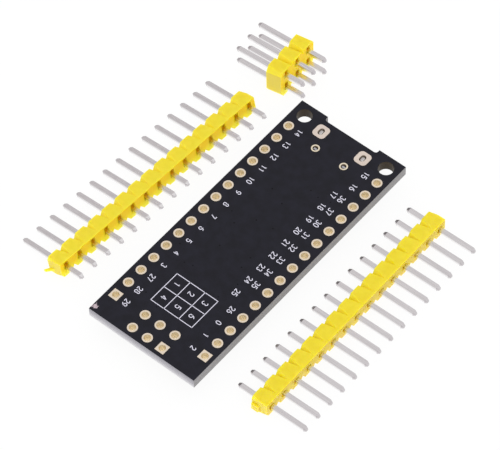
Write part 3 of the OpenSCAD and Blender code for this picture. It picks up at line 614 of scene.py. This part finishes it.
def buildSolder():
    # Each hole's fill has straight sides, and its top falls by the fourth power towards the wall
    points = corners("usb_leg_solder")
    middle = (points.min(0) + points.max(0)) / 2
    share = np.linspace(1, 0, solderLook["rings"])
    parts = []
    for right in (False, True):
        for kind, front in (("leg", True), ("peg", False)):
            own = points[((points[:, 0] > middle[0]) == right) & ((points[:, 1] > middle[1]) == front)]
            low, high = own.min(0), own.max(0)
            half = (high - low)[:2] / 2
            radius = half.min()
            top, rim = solderLook[kind]
            dome = np.stack([share * radius, backZ + (top - (top - rim) * share ** 4) * mm], 1)
            profile = np.vstack([(0, low[2]), (radius, low[2]), dome])
            parts.append(turned(((low + high) / 2)[:2], profile, solderLook["turns"], half - radius))
    piece = makePiece("usbSolder", *joinParts(parts), solderFinish(), "board", "solder", True)
    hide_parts("usb_leg_solder")


buildVias()
buildSolder()
dress(boardFinish(), "circuit_board")
dress(goldFinish("paleGold"), "left_row_pads", "right_row_pads", "isp_pads")
dress(goldFinish("tinnedGold"), "usb_anchor_pads")
dress(goldFinish("eyeletGold"), "usb_peg_pads")
print("board dressed")


# Finishes of the headers; facing limits stand before the tones of the faces that they find
headerLook = {
    "yellow": (tone(237, 218, 37), tone(242, 224, 49)), "yellowScale": 1100, "width": 2.54 * mm,
    "nylon": {"Roughness": 0.5, "Specular IOR Level": 0.35, "Subsurface Weight": 1.0,
              "Subsurface Radius": (1.0, 0.95, 0.12), "Subsurface Scale": 0.5 * mm},
    "nylonGrain": (16000, 0.006 * mm),
    # painted light: the slanted walls of the grooves lighter so their shade fades, and the end faces paler
    # as lit faces
    "groove": (0.3, tone(252, 229, 62)), "endFaceLit": (0.9, tone(228, 209, 84)),
    # faces that the pins pass through, by height: painted light, paler towards the foot and deeper orange
    # higher up
    "pinFaceLimit": 0.8,
    "pocketed": [(0.0, tone(255, 239, 92)), (0.3, tone(255, 235, 56)), (0.5, tone(255, 224, 16)),
                 (0.75, tone(250, 208, 4))],
    "plain": [(0.0, tone(226, 202, 90)), (1.0, tone(223, 195, 46))],
    # painted light: the walls of the pockets lighter and warmer than their shade would be
    "pocket": tone(255, 217, 46), "pocketDepth": (0.87 * mm, 0.35 * mm),  # middle and half
    "pocketSide": 0.5 * mm, "pocketUp": 1.15 * mm,
    "pin": (tone(227, 224, 225), tone(237, 235, 236)), "pinStretch": (0.04, 1, 1), "pinScale": 5000,
    "tin": {"Metallic": 1.0, "Roughness": 0.24}, "tinSpread": (3000, 0.2, 0.3),
    "tinGrain": (5000, 0.0006 * mm),
    # sides of a pin from the lower edge to the upper edge: a painted reflection, near white where the table
    # is mirrored, darker above
    "pinSideLimit": 0.7, "pinHalf": 0.32 * mm,
    "pinSide": [(0.0, tone(252, 251, 252)), (0.35, tone(244, 242, 243)), (0.7, tone(220, 217, 218)),
                (1.0, tone(190, 185, 187))],
    # the tapers and cut ends are tinted greyer, and each pin near its root gets a painted reflection of the
    # yellow housing around it
    "pinEndLimit": 0.25, "pinEnd": (0.74, 0.72, 0.73, 1.0),
    "rootHalf": 1.25 * mm, "rootYellowReflection": (1.0, 0.86, 0.36, 1.0),
    "headers": [("left_strip", 1, "pocketed"), ("right_strip", 1, "plain"), ("isp_block", 2, "pocketed")],
}


def ownAxes(tree, pins):  # a header's own axes: X along its pins, Y along its row, Z up through its row
    points = corners(pins)
    low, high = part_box(pins.replace("pins", "housing"))
    middle = points.mean(0)
    spread = np.linalg.svd(points - middle, full_matrices=False)[2]  # main directions of the pins' points
    axes = np.array([spread[np.abs(spread[:, k]).argmax()] for k in range(3)])
    axes *= np.sign(np.diag(axes))[:, None]
    start = axes @ middle
    start[0] = axes[0] @ np.array((low + high) / 2)  # pins are longer on one side of the housing
    turn = Matrix(axes.tolist()).to_euler()
    parts = addNode(tree, "SeparateXYZ")
    wire(tree, objectPoint(tree, turn=turn, centre=(-start).tolist()), 0, parts, 0)
    return parts


def fromPin(tree, own, axis, pins):  # distance from the nearest pin's middle, of so many on the axis
    shift = pitch / 2 if pins % 2 == 0 else 0
    folded = addNode(tree, "Math", {1: shift + pitch / 2, 2: shift - pitch / 2}, operation="WRAP")
    wire(tree, own, axis, folded, 0)
    away = addNode(tree, "Math", {1: shift}, operation="SUBTRACT")
    wire(tree, folded, "Value", away, 0)
    return away


def pocketArea(tree, pins, rows):  # 1 on the walls of the pockets and lead-ins around the pins, where painted light makes them lighter
    own = ownAxes(tree, pins)
    depth = addNode(tree, "Math", operation="ABSOLUTE")
    wire(tree, own, "X", depth, 0)
    found = within(tree, depth, "Value", *headerLook["pocketDepth"])
    for axis, count, half in (("Y", 1, headerLook["pocketSide"]), ("Z", rows, headerLook["pocketUp"])):
        both = addNode(tree, "Math", operation="MULTIPLY")
        wire(tree, found, "Value", both, 0)
        wire(tree, within(tree, fromPin(tree, own, axis, count), "Value", 0, half), "Value", both, 1)
        found = both
    return found


def yellowFinish(name, pinFaceLighting, pins, rows):
    finish, tree, shader = startFinish(name, headerLook["yellow"][1], headerLook["nylon"])
    point = objectPoint(tree)
    colour = mottle(tree, point, headerLook["yellow"], headerLook["yellowScale"])
    # painted light on the walls of the grooves and on the end faces
    for limit, own in (headerLook["groove"], headerLook["endFaceLit"]):
        colour = blendColours(tree, facing(tree, axisY, limit), colour, own)
    # painted light and shade by height on the faces that the pins pass through
    rise = ramp(tree, coordinate(tree, "Z", 0, headerLook["width"]), "Result", pinFaceLighting)
    colour = blendColours(tree, facing(tree, axisX, headerLook["pinFaceLimit"]), colour, rise)
    # painted light on the walls of the pockets
    paint(tree, shader, blendColours(tree, pocketArea(tree, pins, rows), colour, headerLook["pocket"]))
    grain(tree, shader, point, *headerLook["nylonGrain"])
    return finish


def pinFinish(name, rows):
    finish, tree, shader = startFinish(name + "Tin", headerLook["pin"][1], headerLook["tin"])
    point = objectPoint(tree, headerLook["pinStretch"])
    flat = mottle(tree, point, headerLook["pin"], headerLook["pinScale"])
    own, half = ownAxes(tree, name), headerLook["pinHalf"]
    share = addNode(tree, "MapRange", {"From Min": -half, "From Max": half})
    wire(tree, fromPin(tree, own, "Z", rows), "Value", share, "Value")
    # painted reflection on the sides of the pins
    rise = ramp(tree, share, "Result", headerLook["pinSide"])
    colour = blendColours(tree, facing(tree, axisY, headerLook["pinSideLimit"]), flat, rise)
    ends = facing(tree, axisX, headerLook["pinEndLimit"])
    reflectingRoots = within(tree, own, "X", 0, headerLook["rootHalf"])
    # painted reflection: the yellow housing tinting each pin near its root
    for place, tint in ((ends, headerLook["pinEnd"]), (reflectingRoots, headerLook["rootYellowReflection"])):
        colour = blendColours(tree, place, colour, tint, "MULTIPLY")
    paint(tree, shader, colour)
    sheenSpread(tree, shader, point, *headerLook["tinSpread"])
    grain(tree, shader, point, *headerLook["tinGrain"])
    return finish


for header, rows, pinFaceLighting in headerLook["headers"]:
    pins = header + "_pins"
    dress(yellowFinish(header + "Nylon", headerLook[pinFaceLighting], pins, rows), header + "_housing")
    dress(pinFinish(pins, rows), pins)
print("headers dressed")


# Finishes of the component side
componentLook = {
    "metalScale": 3000,  # the next two start with a share of it
    "metalSpread": (0.7, -0.08, 0.1), "metalGrain": (4, 0.003 * mm),
    "mouldNoise": (5000, 5), "mouldScale": 18000, "mouldHeight": 0.008 * mm,
    "lens": (tone(240, 232, 196), tone(252, 248, 228)), "lensPlain": tone(250, 246, 222), "lensScale": 3000,
    "lensSockets": {"Roughness": 0.15, "Transmission Weight": 0.7, "IOR": 1.5},
    "lensGrain": (9000, 0.002 * mm),
}


def metalFinish(name, dark, light, roughness, stretch=(1, 1, 1)):
    finish, tree, shader = startFinish(name, light, {"Metallic": 1.0, "Roughness": roughness})
    point = objectPoint(tree, stretch)
    scale = componentLook["metalScale"]
    paint(tree, shader, mottle(tree, point, (dark, light), scale))
    share, less, more = componentLook["metalSpread"]
    sheenSpread(tree, shader, point, scale * share, roughness + less, roughness + more)
    share, height = componentLook["metalGrain"]
    grain(tree, shader, point, scale * share, height)
    return finish


def mouldFinish(name, dark, light, roughness, height=componentLook["mouldHeight"]):
    finish, tree, shader = startFinish(name, light, {"Roughness": roughness})
    point = objectPoint(tree)
    paint(tree, shader, mottle(tree, point, (dark, light), *componentLook["mouldNoise"]))
    grain(tree, shader, point, componentLook["mouldScale"], height)
    return finish


def lensFinish():
    look = componentLook
    finish, tree, shader = startFinish("clearLens", look["lensPlain"], look["lensSockets"])
    point = objectPoint(tree)
    paint(tree, shader, mottle(tree, point, look["lens"], look["lensScale"]))
    grain(tree, shader, point, *look["lensGrain"])
    return finish


dress(metalFinish("socketSteel", tone(182, 182, 186), tone(214, 214, 218), 0.3, (1, 0.08, 1)),
      "usb_shell", "switch_cover", "crystal_lid", "switch_dome")
dress(metalFinish("meltedTin", tone(176, 174, 172), tone(214, 212, 208), 0.34), "component_pads")
dress(metalFinish("leadTin", tone(186, 186, 188), tone(216, 216, 218), 0.36),
      "mcu_leads", "regulator_leads", "switch_terminals", "resistor_caps", "capacitor_caps",
      "zener_leads", "power_diode_leads")
dress(metalFinish("contactGold", tone(214, 172, 84), tone(238, 204, 122), 0.28), "usb_contacts", "led_caps")
dress(mouldFinish("chipMould", tone(32, 32, 34), tone(48, 48, 50), 0.6),
      "mcu_body", "regulator_body", "zener_bodies", "power_diode_body")
dress(mouldFinish("blackNylon", tone(22, 22, 24), tone(34, 34, 36), 0.5), "usb_insulator", "switch_base")
dress(mouldFinish("resistorGlaze", tone(20, 20, 24), tone(36, 36, 40), 0.3, 0.002 * mm), "chip_resistors")
dress(mouldFinish("capacitorClay", tone(158, 118, 74), tone(184, 144, 98), 0.45, 0.004 * mm),
      "chip_capacitors")
dress(mouldFinish("crystalCeramic", tone(188, 172, 128), tone(210, 194, 152), 0.5, 0.004 * mm),
      "crystal_base")
dress(mouldFinish("ledCeramic", tone(226, 222, 212), tone(244, 240, 232), 0.5, 0.004 * mm), "led_bases")
dress(mouldFinish("plungerWhite", tone(218, 214, 204), tone(236, 232, 224), 0.45, 0.004 * mm),
      "reset_plunger")
dress(lensFinish(), "led_lenses")
print("component side dressed")
